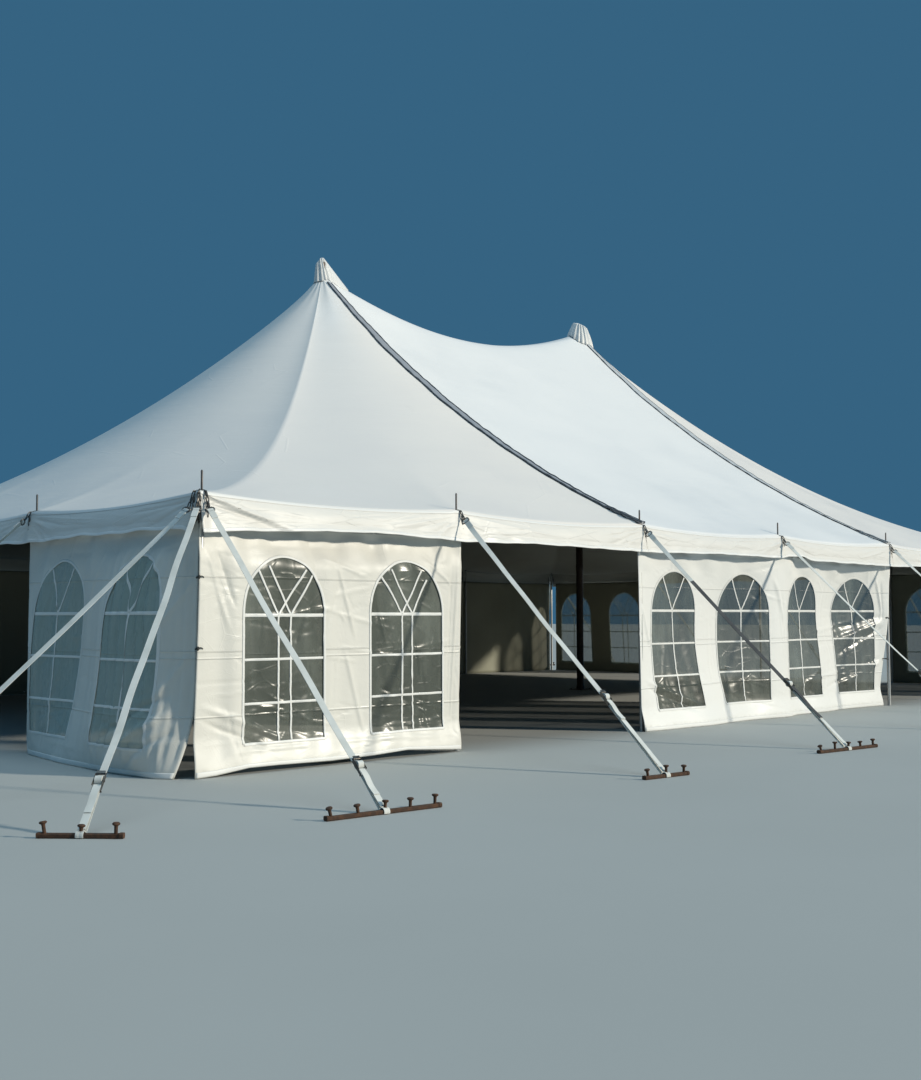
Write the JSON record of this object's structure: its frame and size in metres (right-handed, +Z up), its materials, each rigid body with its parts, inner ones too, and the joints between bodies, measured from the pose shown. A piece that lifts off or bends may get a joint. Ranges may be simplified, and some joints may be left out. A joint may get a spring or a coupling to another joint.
{
  "type": "marquee pole tent",
  "caption": "White marquee pole tent with two peaks, laced canopy sections, arched window side walls and ratchet guy straps to stake bars.",
  "frame": {"origin": "on the ground under the middle of the canopy", "axes": "+X along the long front side, left to right seen from the front, +Y from the front to the back wall, +Z up"},
  "size_m": [23.978, 17.9159, 6.8806],
  "materials": {
    "canopy_vinyl": "white coated polyester, satin, lightly creased",
    "flap_vinyl": "grey coated polyester with darker hems",
    "wall_vinyl": "warm white thin coated polyester, creased",
    "clear_vinyl": "clear flexible vinyl, glossy, wrinkled",
    "brown_steel": "dark brown weathered steel",
    "pole_aluminium": "dull aluminium",
    "guy_webbing": "woven polyester webbing, cream"
  },
  "bodies": {
    "root": {"back_guy_1": "guy_webbing", "back_guy_2": "guy_webbing", "back_guy_3": "guy_webbing", "back_guy_4": "guy_webbing", "back_guy_5": "guy_webbing", "back_left_corner_guys": "guy_webbing", "back_right_corner_guys": "guy_webbing", "back_side_poles": "pole_aluminium", "back_wall": "wall_vinyl", "canopy_left_end": "canopy_vinyl", "canopy_middle": "canopy_vinyl", "canopy_right_end": "canopy_vinyl", "centre_pole_left": "brown_steel", "centre_pole_right": "brown_steel", "front_guy_1": "guy_webbing", "front_guy_2": "guy_webbing", "front_guy_3": "guy_webbing", "front_guy_4": "guy_webbing", "front_guy_5": "guy_webbing", "front_left_corner_guys": "guy_webbing", "front_left_wall": "wall_vinyl", "front_left_windows": "clear_vinyl", "front_middle_wall": "wall_vinyl", "front_middle_windows": "clear_vinyl", "front_right_corner_guys": "guy_webbing", "front_right_wall": "wall_vinyl", "front_right_windows": "clear_vinyl", "front_side_poles": "pole_aluminium", "lacing_flap_back_left": "flap_vinyl", "lacing_flap_back_right": "flap_vinyl", "lacing_flap_front_left": "flap_vinyl", "lacing_flap_front_right": "flap_vinyl", "left_back_wall": "wall_vinyl", "left_back_windows": "clear_vinyl", "left_front_wall": "wall_vinyl", "left_front_windows": "clear_vinyl", "left_guy_1": "guy_webbing", "left_guy_2": "guy_webbing", "left_guy_3": "guy_webbing", "left_side_poles": "pole_aluminium", "peak_cap_left": "canopy_vinyl", "peak_cap_right": "canopy_vinyl", "right_back_wall": "wall_vinyl", "right_back_windows": "clear_vinyl", "right_front_wall": "wall_vinyl", "right_front_windows": "clear_vinyl", "right_guy_1": "guy_webbing", "right_guy_2": "guy_webbing", "right_guy_3": "guy_webbing", "right_side_poles": "pole_aluminium"}
  },
  "joints": []
}
